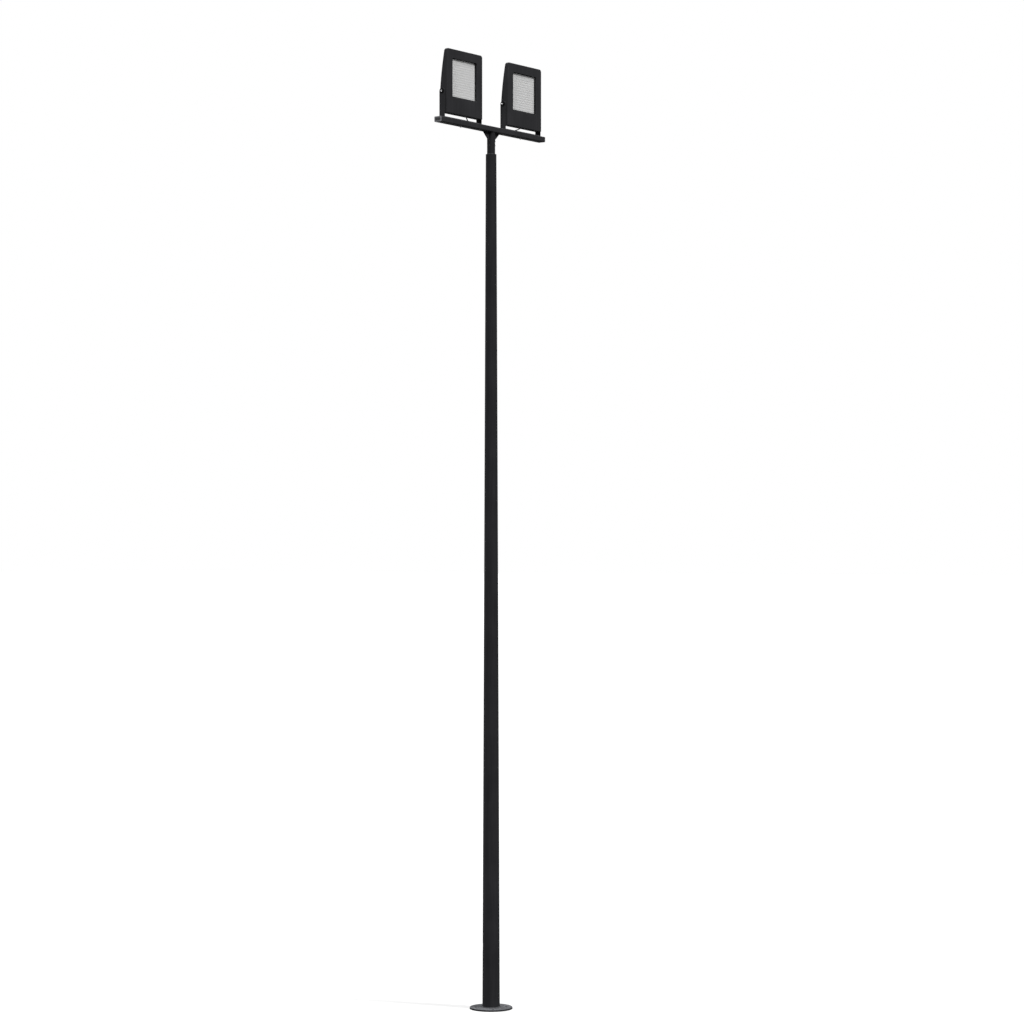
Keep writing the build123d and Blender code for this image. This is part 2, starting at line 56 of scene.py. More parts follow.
def linear(code):
    """The linear RGBA of an sRGB colour written as six hex digits."""
    parts = np.array([int(code[i:i + 2], 16) for i in (0, 2, 4)]) / 255
    light = np.where(parts > 0.04045, ((parts + 0.055) / 1.055) ** 2.4, parts / 12.92)
    return (*light.tolist(), 1.0)


def per(millimetres):
    """The texture scale at which a pattern repeats about once in this many millimetres."""
    return 1000 / millimetres


def add_node(owner, kind, inputs=None, **settings):
    """Adds a shader node with its settings, and sets or links the sockets named in inputs."""
    node = owner.node_tree.nodes.new("ShaderNode" + kind)
    for name, value in settings.items():
        setattr(node, name, value)
    for name, value in (inputs or {}).items():
        if isinstance(value, bpy.types.NodeSocket):
            owner.node_tree.links.new(value, node.inputs[name])
        else:
            node.inputs[name].default_value = value
    return node


def blank_material(name):
    """A material with an empty node tree."""
    material = bpy.data.materials.new(name)
    material.use_nodes = True
    material.node_tree.nodes.clear()
    return material


def flatness(owner, rounded):
    """The socket that is 1 away from edges and falls next to them: the rounded normal of a Bevel
    node times the face's own normal."""
    face = add_node(owner, "NewGeometry")
    agreement = add_node(
        owner,
        "VectorMath",
        {0: rounded.outputs["Normal"], 1: face.outputs["Normal"]},
        operation="DOT_PRODUCT",
    )
    return agreement.outputs["Value"]


def close_material(owner, finish, height, depth, strength, rounded=None):
    """Ends a material with a Principled shader that has the inputs in finish. The height socket
    embosses its normal to a depth in metres, on top of a Bevel node's if one is given."""
    relief = {"Height": height, "Distance": depth, "Strength": strength}
    if rounded:
        relief["Normal"] = rounded.outputs["Normal"]
    bumps = add_node(owner, "Bump", relief)
    shader = add_node(owner, "BsdfPrincipled", {**finish, "Normal": bumps.outputs["Normal"]})
    add_node(owner, "OutputMaterial", {"Surface": shader.outputs["BSDF"]})


def powder_coat(name, black, chalk, peel, top_light_and_dust_share):
    """Baked polyester powder: a black that clouds towards chalk over a third of a metre and down
    the rain's path, a dimpled skin whose dimples are peel mm apart, a pale colour where the
    surface looks up that is partly dust and partly painted light from above, and a thin grey
    line where the coat drew back from an edge."""
    paint = blank_material(name)
    place = add_node(paint, "TexCoord")
    here = place.outputs["Object"]
    clouds = add_node(paint, "TexNoise", {"Vector": here, "Scale": per(330), "Detail": 5.0})
    drawn_down = add_node(paint, "Mapping", {"Vector": here, "Scale": (1.0, 1.0, 0.06)})
    streaks = add_node(
        paint,
        "TexNoise",
        {"Vector": drawn_down.outputs["Vector"], "Scale": per(22), "Detail": 4.0, "Roughness": 0.6},
    )
    grime = add_node(
        paint,
        "TexNoise",
        {"Vector": here, "Scale": per(14), "Detail": 7.0, "Roughness": 0.7},
    )
    weather = add_node(
        paint,
        "Math",
        {0: clouds.outputs["Fac"], 1: streaks.outputs["Fac"]},
        operation="ADD",
    )
    fading = add_node(
        paint,
        "MapRange",
        {"Value": weather.outputs["Value"], "From Min": 0.75, "From Max": 1.3, "To Max": 0.9},
    )
    coat = add_node(
        paint,
        "Mix",
        {0: fading.outputs["Result"], 6: linear(black), 7: linear(chalk)},
        data_type="RGBA",
    )
    # Dust and dried rain lie only on what looks up, thickest where the grime noise is strong. The
    # same pale colour on up-facing faces is also painted light from above.
    direction = add_node(paint, "SeparateXYZ", {"Vector": place.outputs["Normal"]})
    facing_up = add_node(
        paint,
        "MapRange",
        {"Value": direction.outputs["Z"], "From Min": 0.45, "From Max": 0.95, "To Max": top_light_and_dust_share},
    )
    settled = add_node(
        paint,
        "MapRange",
        {"Value": grime.outputs["Fac"], "From Min": 0.36, "From Max": 0.62, "To Min": 0.15},
    )
    # Painted top light and dust: what looks up turns towards the pale colour by this share.
    dust = add_node(
        paint,
        "Math",
        {0: facing_up.outputs["Result"], 1: settled.outputs["Result"]},
        operation="MULTIPLY",
    )
    top_lit_and_dusty = add_node(
        paint,
        "Mix",
        {0: dust.outputs["Value"], 6: coat.outputs[2], 7: linear("85868a")},
        data_type="RGBA",
    )
    # The coat pulls back from corners as it melts: a 2 mm line there shows the primer's grey.
    rounded = add_node(paint, "Bevel", {"Radius": 0.002}, samples=4)
    on_edge = add_node(
        paint,
        "MapRange",
        {"Value": flatness(paint, rounded), "From Min": 0.985, "From Max": 0.84, "To Max": 0.5},
    )
    worn = add_node(
        paint,
        "Math",
        {0: on_edge.outputs["Result"], 1: settled.outputs["Result"]},
        operation="MULTIPLY",
    )
    colour = add_node(
        paint,
        "Mix",
        {0: worn.outputs["Value"], 6: top_lit_and_dusty.outputs[2], 7: linear("4c4c4d")},
        data_type="RGBA",
    )
    dullness = add_node(
        paint,
        "MapRange",
        {"Value": streaks.outputs["Fac"], "From Min": 0.3, "From Max": 0.7,
         "To Min": 0.78, "To Max": 0.9},
    )
    roughness = add_node(
        paint,
        "Math",
        {0: dust.outputs["Value"], 1: 0.1, 2: dullness.outputs["Result"]},
        operation="MULTIPLY_ADD",
    )
    # Real dimples are 1 to 2 mm apart, finer than a pixel, so they are drawn coarser, at peel mm.
    skin = add_node(paint, "TexNoise", {"Vector": here, "Scale": per(peel), "Detail": 2.0})
    waves = add_node(paint, "TexNoise", {"Vector": here, "Scale": per(60), "Detail": 1.0})
    relief = add_node(
        paint,
        "Math",
        {0: waves.outputs["Fac"], 1: 2.0, 2: skin.outputs["Fac"]},
        operation="MULTIPLY_ADD",
    )
    finish = {
        "Base Color": colour.outputs[2],
        "Roughness": roughness.outputs["Value"],
        "Specular IOR Level": 0.02,
    }
    close_material(paint, finish, relief.outputs["Value"], 0.0004, 0.5, rounded)
    return paint


def dress(material, *names):
    """Gives the CAD nodes of these names a material in place of the plain one they load with."""
    for name in names:
        nodes[name].material_slots[0].material = material


mast_paint = powder_coat(
    "black_powder_coat_on_the_mast", black="222224", chalk="2b2b2d", peel=9, top_light_and_dust_share=0.85
)
dress(mast_paint, "base_plate")

# Weld between the foot plate and the column: one round fillet laid by a turning fixture, so its
# ripples are even, galvanised and coated over.
x_axis, y_axis, z_axis = np.eye(3)


def surface(name, points, material, closed=(False, True)):
    """A mesh over one or more grids of points (rows, columns, 3): a face between each two
    neighbouring rows and columns. Along a closed direction the last points join the first, and
    where only the columns close, a cap fills the first and the last row."""
    grids = points.reshape(-1, *points.shape[-3:])
    numbers = np.arange(grids[..., 0].size).reshape(grids.shape[:3])
    if closed[0]:
        numbers = np.concatenate([numbers, numbers[:, :1]], axis=1)
    if closed[1]:
        numbers = np.concatenate([numbers, numbers[:, :, :1]], axis=2)
    corners = (
        numbers[:, :-1, :-1],
        numbers[:, :-1, 1:],
        numbers[:, 1:, 1:],
        numbers[:, 1:, :-1],
    )
    faces = np.stack(corners, axis=-1).reshape(-1, 4).tolist()
    if closed == (False, True):
        faces += numbers[:, 0, -2::-1].tolist()
        faces += numbers[:, -1, :-1].tolist()
    mesh = bpy.data.meshes.new(name)
    mesh.from_pydata(grids.reshape(-1, 3).tolist(), [], faces)
    mesh.shade_smooth()
    mesh.set_sharp_from_angle(angle=np.radians(40))
    mesh.materials.append(material)
    piece = bpy.data.objects.new(name, mesh)
    bpy.context.scene.collection.objects.link(piece)
    return piece


def bead(path, out, half_width, rise, ripples, closed=False):
    """The skin of a weld bead: about each point of the path goes a flat ellipse, half_width
    across the joint and rise along out. The rise swells and sinks once a ripple, later at the
    bead's sides than on its crown, and an open bead's ends taper almost to a point."""
    ahead = np.roll(path, -1, 0) - path
    if not closed:
        ahead[-1] = ahead[-2]
    ahead /= np.linalg.norm(ahead, axis=1, keepdims=True)
    across = np.cross(out, ahead)
    share = np.linspace(0, 1, len(path), endpoint=not closed)[:, None]
    turn = np.linspace(0, 2 * np.pi, 12, endpoint=False)
    wave = np.cos(2 * np.pi * ripples * share - 1.6 * np.cos(turn) ** 2)
    taper = np.ones_like(share) if closed else np.sqrt(1.01 - (2 * share - 1) ** 12)
    sideways = half_width * (1 + 0.05 * wave) * np.cos(turn) * taper
    upwards = rise * (1 + 0.22 * wave) * np.sin(turn) * taper
    return path[:, None] + sideways[..., None] * across[:, None] + upwards[..., None] * out[:, None]


def round_weld(name, radius, height, tilt, half_width, rise, ripples):
    """A bead round the mast's axis at a radius and height, with six points to a ripple. Its crown
    leans from level (tilt 0) towards up (90 degrees)."""
    turn = np.linspace(0, 2 * np.pi, ripples * 6, endpoint=False)
    level = np.stack([np.cos(turn), np.sin(turn), np.zeros(len(turn))], axis=1)
    lean = np.radians(tilt)
    path = radius * level + height * z_axis
    out = np.cos(lean) * level + np.sin(lean) * z_axis
    skin = bead(path, out, half_width, rise, ripples, closed=True)
    return surface(name, skin, mast_paint, closed=(True, True))


foot_weld = round_weld(
    "foot_weld", radius=0.0845, height=0.0175, tilt=45, half_width=0.0042, rise=0.0016, ripples=110
)
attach(foot_weld, "mast")

# Column: 4 mm steel sheet pressed to a tapered tube 8 m tall, 164 mm across at the foot and
# 100 mm at the top, with a flat steel collar let into its top end. One lengthwise seam, welded
# and dressed, runs up the back beside the door.
foot_radius, narrowing = 0.082, 0.032
column_bottom, column_rise = 0.015, 7.985
seam_low, seam_high = 0.022, 7.985
seam_angle = np.radians(50)
seam_height = np.linspace(seam_low, seam_high, 2800)
seam_radius = foot_radius - narrowing * (seam_height - column_bottom) / column_rise
seam_out = np.tile([np.cos(seam_angle), np.sin(seam_angle), 0.0], (len(seam_height), 1))
seam_path = seam_out * seam_radius[:, None] + seam_height[:, None] * z_axis
seam_skin = bead(seam_path, seam_out, half_width=0.0045, rise=0.0006, ripples=560)
column_seam = surface("column_seam", seam_skin, mast_paint)
collar_weld = round_weld(
    "collar_weld", radius=0.0492, height=8.0008, tilt=40, half_width=0.0024, rise=0.0009, ripples=64
)
for piece in (column_seam, collar_weld):
    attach(piece, "mast")
dress(mast_paint, "column", "top_collar")

# Service door: a curved steel leaf laid flush in the column's back on a welded frame, coated
# with the mast, and held by a galvanised lock screw with a triangular key hole.


def galvanised(name):
    """Hot-dipped zinc: flat crystals about 9 mm across, each a little lighter or darker than the
    next and raised a little, dulled in patches 40 mm across by years of weather."""
    zinc = blank_material(name)
    here = add_node(zinc, "TexCoord").outputs["Object"]
    crystals = add_node(zinc, "TexVoronoi", {"Vector": here, "Scale": per(9), "Randomness": 1.0})
    tone = add_node(zinc, "RGBToBW", {"Color": crystals.outputs["Color"]})
    bloom = add_node(zinc, "TexNoise", {"Vector": here, "Scale": per(40), "Detail": 6.0})
    colour = add_node(
        zinc,
        "Mix",
        {0: tone.outputs["Val"], 6: linear("8d9092"), 7: linear("a7aaab")},
        data_type="RGBA",
    )
    dullness = add_node(
        zinc,
        "MapRange",
        {"Value": bloom.outputs["Fac"], "From Min": 0.3, "From Max": 0.7,
         "To Min": 0.38, "To Max": 0.62},
    )
    finish = {
        "Base Color": colour.outputs[2],
        "Metallic": 0.9,
        "Roughness": dullness.outputs["Result"],
    }
    close_material(zinc, finish, crystals.outputs["Distance"], 0.0003, 0.35)
    return zinc


zinc = galvanised("hot_dip_galvanised_steel")
dress(mast_paint, "door_cover", "door_frame")
dress(zinc, "door_lock")

# Spigot and socket: the galvanised tube that stands in the collar, the coated socket of the
# crossarm pushed over it, and six socket-head set screws of blackened steel that clamp the two.


def blackened(name):
    """Black oxide on machined steel: a thin blue-black skin with an oily sheen, clouded brown
    grey in patches 12 mm across, over turning marks 0.8 mm apart."""
    steel = blank_material(name)
    here = add_node(steel, "TexCoord").outputs["Object"]
    oil = add_node(steel, "TexNoise", {"Vector": here, "Scale": per(12), "Detail": 5.0})
    colour = add_node(
        steel,
        "Mix",
        {0: oil.outputs["Fac"], 6: linear("17181a"), 7: linear("2b2a29")},
        data_type="RGBA",
    )
    dullness = add_node(
        steel,
        "MapRange",
        {"Value": oil.outputs["Fac"], "From Min": 0.3, "From Max": 0.7,
         "To Min": 0.3, "To Max": 0.5},
    )
    marks = add_node(steel, "TexNoise", {"Vector": here, "Scale": per(0.8), "Detail": 2.0})
    rounded = add_node(steel, "Bevel", {"Radius": 0.0006}, samples=4)
    finish = {
        "Base Color": colour.outputs[2],
        "Metallic": 0.7,
        "Roughness": dullness.outputs["Result"],
    }
    close_material(steel, finish, marks.outputs["Fac"], 0.00005, 0.4, rounded)
    return steel


dress(zinc, "spigot")
dress(mast_paint, "crossarm_socket")
dress(blackened("black_oxide_set_screws"), "socket_screws")

# Crossarm: an 80 x 50 mm steel box section 1.6 m long, welded crosswise onto the socket and
# stiffened by two gusset plates, powder coated black before the mast was raised. Short
# hand-laid fillets join each gusset's two faces to the socket and to the arm.
gusset_face = 0.0045
socket_joint, socket_joint_low, socket_joint_high = 0.0385, 8.136, 8.207
arm_joint_height, arm_joint_near, arm_joint_far = 8.2095, 0.042, 0.121
diagonal = np.sqrt(0.5)


def straight_weld(start, end, out, ripples):
    """A hand-laid bead of 90 rows from start to end, its crown towards out."""
    start, end = np.array(start), np.array(end)
    path = start + (end - start) * np.linspace(0, 1, 90)[:, None]
    return bead(path, np.tile(out, (90, 1)), half_width=0.0028, rise=0.0015, ripples=ripples)


socket_weld = round_weld(
    "socket_weld",
    radius=0.0395,
    height=8.2088,
    tilt=-45,
    half_width=0.0032,
    rise=0.0016,
    ripples=52,
)
fillets = []
for side in (-1.0, 1.0):
    for face in (-1.0, 1.0):
        beside = face * gusset_face
        upright = straight_weld(
            (side * socket_joint, beside, socket_joint_low),
            (side * socket_joint, beside, socket_joint_high),
            out=(side * diagonal, face * diagonal, 0.0),
            ripples=15,
        )
        level = straight_weld(
            (side * arm_joint_near, beside, arm_joint_height),
            (side * arm_joint_far, beside, arm_joint_height),
            out=(0.0, face * diagonal, -diagonal),
            ripples=16,
        )
        fillets += [upright, level]
gusset_welds = surface("gusset_welds", np.array(fillets), mast_paint)
for piece in (socket_weld, gusset_welds):
    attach(piece, "mast")
arm_paint = powder_coat(
    "black_powder_coat_on_the_crossarm", black="2b2b2d", chalk="353537", peel=9, top_light_and_dust_share=0.7
)
dress(arm_paint, "crossarm", "gusset_left", "gusset_right")

# End plugs: grey polyethylene caps moulded with a raised rim and pushed into the box section.
# Their rims are painted light grey and the rest darker, as painted light on the rim and painted
# shade in the recess, and the mould left a fine grain.


def moulded(name, dark, light, grain, roughness, level, rim=None):
    """Injection-moulded plastic or rubber: a colour that drifts from dark to light over 60 mm,
    and the fine grain of the mould's wall, grain mm apart. With a rim colour, the 12 mm next to
    an edge are painted towards it, as painted light on the rim."""
    plastic = blank_material(name)
    here = add_node(plastic, "TexCoord").outputs["Object"]
    drift = add_node(plastic, "TexNoise", {"Vector": here, "Scale": per(60), "Detail": 6.0})
    colour = add_node(
        plastic,
        "Mix",
        {0: drift.outputs["Fac"], 6: linear(dark), 7: linear(light)},
        data_type="RGBA",
    )
    # Painted rim light: the 12 mm next to each edge turn towards the rim colour, and the darker
    # inside stays as painted shade.
    if rim:
        softened = add_node(plastic, "Bevel", {"Radius": 0.012}, samples=8)
        lit_rim_share = add_node(
            plastic,
            "MapRange",
            {"Value": flatness(plastic, softened), "From Min": 0.998, "From Max": 0.93},
        )
        colour = add_node(
            plastic,
            "Mix",
            {0: lit_rim_share.outputs["Result"], 6: colour.outputs[2], 7: linear(rim)},
            data_type="RGBA",
        )
    dullness = add_node(
        plastic,
        "MapRange",
        {"Value": drift.outputs["Fac"], "From Min": 0.3, "From Max": 0.7,
         "To Min": roughness - 0.07, "To Max": roughness + 0.07},
    )
    pits = add_node(plastic, "TexNoise", {"Vector": here, "Scale": per(grain), "Detail": 3.0})
    rounded = add_node(plastic, "Bevel", {"Radius": 0.0008}, samples=4)
    finish = {
        "Base Color": colour.outputs[2],
        "Roughness": dullness.outputs["Result"],
        "Specular IOR Level": level,
    }
    close_material(plastic, finish, pits.outputs["Fac"], 0.0002, 0.4, rounded)
    return plastic


# End plugs: light rims and a darker inside, as painted light and painted shade.
polyethylene = moulded(
    "grey_polyethylene_with_painted_rim_light",
    dark="3a3a3c",
    light="464648",
    grain=2,
    roughness=0.7,
    level=0.05,
    rim="8c8c90",
)
dress(polyethylene, "end_plug_left", "end_plug_right")

# Yokes: one 60 x 6 mm steel flat bent to a U for each floodlight, its ends rounded and drilled
# for the pivots, powder coated black. A domed stainless bolt through the crossarm holds each, and
# two turns of its thread stand out of the nut below. The pivot bolts have a black flake coat,
# and their up-facing faces are painted lighter as a painted highlight.
floodlight_x = {"left": -0.46, "right": 0.46}
thread_low, thread_high = 8.1961, 8.2003
thread_pitch, thread_turns = 0.00175, 2.2
thread_section = np.array([[5.6, -0.8], [6.25, -0.05], [6.25, 0.05], [5.6, 0.8]]) / 1000


def stainless(name):
    """Rolled and turned stainless steel: a cool bright grey, brushed by its cutting, with a dull
    bloom about 8 mm across where hands and weather dimmed it."""
    steel = blank_material(name)
    here = add_node(steel, "TexCoord").outputs["Object"]
    bloom = add_node(steel, "TexNoise", {"Vector": here, "Scale": per(8), "Detail": 5.0})
    drawn = add_node(steel, "Mapping", {"Vector": here, "Scale": (1.0, 1.0, 0.1)})
    brushing = add_node(
        steel,
        "TexNoise",
        {"Vector": drawn.outputs["Vector"], "Scale": per(0.7), "Detail": 3.0},
    )
    colour = add_node(
        steel,
        "Mix",
        {0: bloom.outputs["Fac"], 6: linear("7c7c7d"), 7: linear("a8a8a9")},
        data_type="RGBA",
    )
    dullness = add_node(
        steel,
        "MapRange",
        {"Value": bloom.outputs["Fac"], "From Min": 0.3, "From Max": 0.7,
         "To Min": 0.14, "To Max": 0.3},
    )
    rounded = add_node(steel, "Bevel", {"Radius": 0.0006}, samples=4)
    finish = {
        "Base Color": colour.outputs[2],
        "Metallic": 1.0,
        "Roughness": dullness.outputs["Result"],
    }
    close_material(steel, finish, brushing.outputs["Fac"], 0.00004, 0.5, rounded)
    return steel


def thread_ridge(x):
    """The ridge of a thread round the upright line at x: its section, in radius and height, climbs
    one pitch a turn and is cut off level at both ends of the bolt's tail."""
    turn = np.linspace(0, thread_turns * 2 * np.pi, 90)[:, None]
    radius, height = thread_section.T
    climb = thread_low + thread_pitch * turn / (2 * np.pi)
    level = np.clip(climb + height, thread_low, thread_high)
    return np.stack([x + radius * np.cos(turn), radius * np.sin(turn), level], axis=-1)


bolt_steel = stainless("turned_stainless_bolts")
# Pivot bolts: a near-black flake coat with the whole share of the pale top colour, a painted
# highlight on their up-facing faces.
zinc_flake = powder_coat(
    "black_zinc_flake_with_painted_highlight", black="0d0d0e", chalk="19191a", peel=4, top_light_and_dust_share=1.0
)
yoke_paint = powder_coat(
    "black_powder_coat_on_the_yokes", black="2a2a2c", chalk="343436", peel=8, top_light_and_dust_share=0.7
)
for name, x in floodlight_x.items():
    thread = surface(f"bolt_thread_{name}", thread_ridge(x), bolt_steel)
    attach(thread, "mast")
    dress(yoke_paint, f"yoke_{name}")
    dress(bolt_steel, f"yoke_bolt_{name}")
    dress(zinc_flake, f"pivot_bolts_{name}")

# Pivot cups and caps: moulded black nylon rings that shroud each pivot's washer on the yoke's
# outer side, and turned stainless caps pressed on the bolt heads. The cups' near-black also
# stands for the shade round each pivot, as painted shade.
pivot_height = 8.5
cup_profile = [(24.0, 0.1), (24.0, 1.4), (22.8, 2.6), (18.2, 2.6), (17.3, 1.8), (17.3, 0.1)]
cap_profile = [(8.4, -0.2), (8.6, 0.8), (7.6, 2.6), (5.4, 4.0), (2.6, 4.8), (0.3, 5.0)]


def turned(profile, centres, across, up, steps, lobe_depths=(0.0,), lobes=0):
    """A profile of (radius, height) rows in mm, turned about the axis that is across times up, at
    each centre. Each row's radius may swell and shrink by its own depth, lobes times a turn."""
    radius, height = (np.array(profile).T / 1000)[..., None]
    turn = np.linspace(0, 2 * np.pi, steps, endpoint=False)
    wave = np.array(lobe_depths)[:, None] / 1000 * np.cos(lobes * turn)
    reach = (radius + wave)[..., None]
    circle = np.cos(turn)[:, None] * across + np.sin(turn)[:, None] * up
    axis = np.cross(across, up)
    return centres[:, None, None] + reach * circle + height[..., None] * axis


def on_both_ends(profile, node, steps):
    """A profile turned about the pivots' line at the left and right ends of a node's box, facing
    outwards at each."""
    low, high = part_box(node)
    left = np.array([[low.x, 0.0, pivot_height]])
    right = np.array([[high.x, 0.0, pivot_height]])
    leftward = turned(profile, left, z_axis, y_axis, steps)
    rightward = turned(profile, right, y_axis, z_axis, steps)
    return np.concatenate([leftward, rightward])


# Near-black cups: painted shade in the ring round each pivot.
pivot_shade_nylon = moulded(
    "near_black_nylon_cups_as_painted_shade", dark="0a0a0b", light="111112", grain=1.5, roughness=0.7, level=0.04
)
for name in floodlight_x:
    cups = surface(
        f"pivot_cups_{name}",
        on_both_ends(cup_profile, f"yoke_{name}", 72),
        pivot_shade_nylon,
        closed=(True, True),
    )
    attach(cups, "mast")
    bolt_caps = surface(
        f"pivot_caps_{name}",
        on_both_ends(cap_profile, f"pivot_bolts_{name}", 36),
        bolt_steel,
    )
    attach(bolt_caps, f"floodlight_{name}")

# Floodlight housings: die-cast aluminium bodies finned on the back, with a cast front frame and
# a pressed driver cover, all powder coated a fine-textured black. Eight pan-head stainless
# screws with six-lobed recesses hold each cover.
screw_columns = np.array([-0.223, -0.075, 0.075, 0.223])
screw_inset = 0.011
screw_profile = [
    (4.6, -0.3),
    (4.7, 0.6),
    (4.3, 1.7),
    (3.3, 2.5),
    (2.3, 2.8),
    (1.9, 2.75),
    (1.8, 1.3),
    (0.3, 1.0),
]
recess_lobes = (0.0, 0.0, 0.0, 0.0, 0.0, 0.35, 0.35, 0.0)


def centres_on(columns, depth, rows):
    """The points where columns (across) meet rows (up), all at one depth."""
    across, up = np.meshgrid(columns, rows)
    return np.stack([across.ravel(), np.full(across.size, depth), up.ravel()], axis=1)


lamp_coating = powder_coat(
    "fine_texture_coat_on_cast_aluminium", black="2a2a2c", chalk="343436", peel=7, top_light_and_dust_share=0.7
)
for name, x in floodlight_x.items():
    dress(lamp_coating, f"lamp_body_{name}", f"front_frame_{name}", f"driver_cover_{name}")
    low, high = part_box(f"driver_cover_{name}")
    screw_rows = [low.z + screw_inset, high.z - screw_inset]
    centres = centres_on(x + screw_columns, high.y, screw_rows)
    screws = surface(
        f"cover_screws_{name}",
        turned(screw_profile, centres, x_axis, -z_axis, 36, recess_lobes, lobes=6),
        bolt_steel,
    )
    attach(screws, f"floodlight_{name}")

# Windows: a silicone gasket, 5 mm toughened glass with a black enamel border fired on its back,
# and behind it a pale moulded plate whose low round lenses, 22 mm apart, stand over the
# light-emitting diodes. The border is wider at the top and bottom than at the sides. It is partly
# print and partly painted shade, standing for the shade inside the window's edges.
lens_pitch = 0.022
lens_columns = np.arange(-7.5, 8) * lens_pitch
lens_rows = np.arange(-7, 8) * lens_pitch
lens_profile = [(9.4, -0.3), (9.0, 0.3), (7.4, 1.1), (4.8, 1.6), (2.6, 1.6), (1.2, 1.2)]
diode_profile = [(1.15, 1.1), (1.15, 1.3), (0.8, 1.4)]
print_corners = np.array([[-1, -1], [1, -1], [1, 1], [-1, 1]])
print_outside, print_inside = (0.1858, 0.1822), (0.1775, 0.1695)
print_front, print_back = -0.0302, -0.0296


def clear_glass(name):
    """Toughened float glass 5 mm thick, nearly colourless: light goes straight through, less a
    tenth of it, and each face mirrors a little, more at a glance, dulled in patches by a film of
    dust."""
    glass = blank_material(name)
    here = add_node(glass, "TexCoord").outputs["Object"]
    film = add_node(glass, "TexNoise", {"Vector": here, "Scale": per(90), "Detail": 6.0})
    dullness = add_node(
        glass,
        "MapRange",
        {"Value": film.outputs["Fac"], "From Min": 0.35, "From Max": 0.7,
         "To Min": 0.04, "To Max": 0.16},
    )
    mirror = add_node(
        glass,
        "BsdfPrincipled",
        {"Base Color": linear("f6f7f7"), "Metallic": 1.0, "Roughness": dullness.outputs["Result"]},
    )
    through = add_node(glass, "BsdfTransparent", {"Color": linear("fafafa")})
    glance = add_node(glass, "LayerWeight", {"Blend": 0.2})
    share = add_node(
        glass,
        "Math",
        {0: glance.outputs["Facing"], 1: 0.3, 2: 0.02},
        operation="MULTIPLY_ADD",
    )
    pane = add_node(
        glass,
        "MixShader",
        {0: share.outputs["Value"], 1: through.outputs["BSDF"], 2: mirror.outputs["BSDF"]},
    )
    add_node(glass, "OutputMaterial", {"Surface": pane.outputs["Shader"]})
    return glass


glass = clear_glass("clear_toughened_glass")
silicone = moulded(
    "black_silicone", dark="0c0c0d", light="121213", grain=3, roughness=0.8, level=0.05
)
acrylic = moulded(
    "pale_moulded_acrylic", dark="cfcfcf", light="d3d3d3", grain=4, roughness=0.5, level=0.2
)
phosphor = moulded(
    "yellow_phosphor_resin", dark="c8b25a", light="d9c982", grain=1, roughness=0.4, level=0.2
)
# Black border: print, and also painted shade inside the window's edges.
enamel = moulded(
    "black_enamel_print_and_painted_shade", dark="131314", light="1a1a1b", grain=3, roughness=0.5, level=0.2
)
for name, x in floodlight_x.items():
    dress(silicone, f"window_gasket_{name}")
    dress(glass, f"window_glass_{name}")
    dress(acrylic, f"led_panel_{name}")
    low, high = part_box(f"led_panel_{name}")
    middle = (low.z + high.z) / 2
    centres = centres_on(x + lens_columns, low.y, middle + lens_rows)
    lenses = surface(
        f"lenses_{name}",
        turned(lens_profile, centres, x_axis, z_axis, 12),
        acrylic,
    )
    diodes = surface(
        f"diodes_{name}",
        turned(diode_profile, centres, x_axis, z_axis, 8),
        phosphor,
    )
    outside = [x, middle] + print_corners * print_outside
    inside = [x, middle] + print_corners * print_inside
    border_rows = [
        np.insert(outside, 1, print_front, axis=1),
        np.insert(inside, 1, print_front, axis=1),
        np.insert(inside, 1, print_back, axis=1),
        np.insert(outside, 1, print_back, axis=1),
    ]
    border = surface(
        f"glass_border_and_painted_shade_{name}",
        np.stack(border_rows, axis=1),
        enamel,
        closed=(True, True),
    )
    for piece in (lenses, diodes, border):
        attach(piece, f"floodlight_{name}")

# Cable glands and grommets: a moulded black nylon gland on each driver cover, its cap nut
# ribbed for the fingers and its mouth closed by a rubber seal, and a rubber grommet where the
# lead goes into the crossarm's back.
nut_profile = [(11.1, 47.6), (11.6, 48.4), (11.1, 52.0), (10.4, 57.5), (9.5, 59.6), (8.6, 59.9)]
nut_ribs = (0.35, 0.35, 0.35, 0.35, 0.35, 0.0)
seal_radius, seal_inset = 0.0064, 0.0002
seal_turn = np.linspace(0, 2 * np.pi, 144, endpoint=False)[:, None]
seal_circle = np.cos(seal_turn) * x_axis - np.sin(seal_turn) * z_axis
nylon = moulded(
    "black_glass_filled_nylon", dark="1c1c1d", light="242425", grain=1.5, roughness=0.5, level=0.3
)
for name in floodlight_x:
    dress(nylon, f"cable_gland_{name}")
    dress(silicone, f"lead_grommet_{name}")
    low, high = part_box(f"cable_gland_{name}")
    middle = np.array([(low.x + high.x) / 2, 0.0, (low.z + high.z) / 2])
    cap_nut = surface(
        f"gland_nut_{name}",
        turned(nut_profile, middle[None], x_axis, -z_axis, 144, nut_ribs, lobes=18),
        nylon,
    )
    seal_path = middle + seal_radius * seal_circle + (high.y - seal_inset) * y_axis
    backwards = np.tile(y_axis, (len(seal_path), 1))
    seal = surface(
        f"gland_seal_{name}",
        bead(seal_path, backwards, half_width=0.0011, rise=0.0006, ripples=0, closed=True),
        silicone,
        closed=(True, True),
    )
    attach(cap_nut, f"floodlight_{name}")
    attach(seal, f"floodlight_{name}")

# Leads: a 10 mm rubber-sheathed cable from each gland, down behind its floodlight and through
# the grommet, held at both ends. Each leaves its gland straight and sags under its own weight.
# Points are right of, behind and above each pivot, in mm.
lead_radius = 0.005
lead_routes = {
    "left": [
        (190, 50, -120),
        (190, 88, -120),
        (200, 111, -138),
        (230, 119, -167),
        (250, 112, -200),
        (252, 88, -234),
        (238, 52, -265),
        (236, 28, -265),
    ],
    "right": [
        (190, 50, -120),
        (190, 88, -120),
        (182, 112, -139),
        (155, 121, -166),
        (104, 114, -187),
        (44, 99, -201),
        (-4, 83, -226),
        (-32, 52, -265),
        (-32, 28, -265),
    ],
}
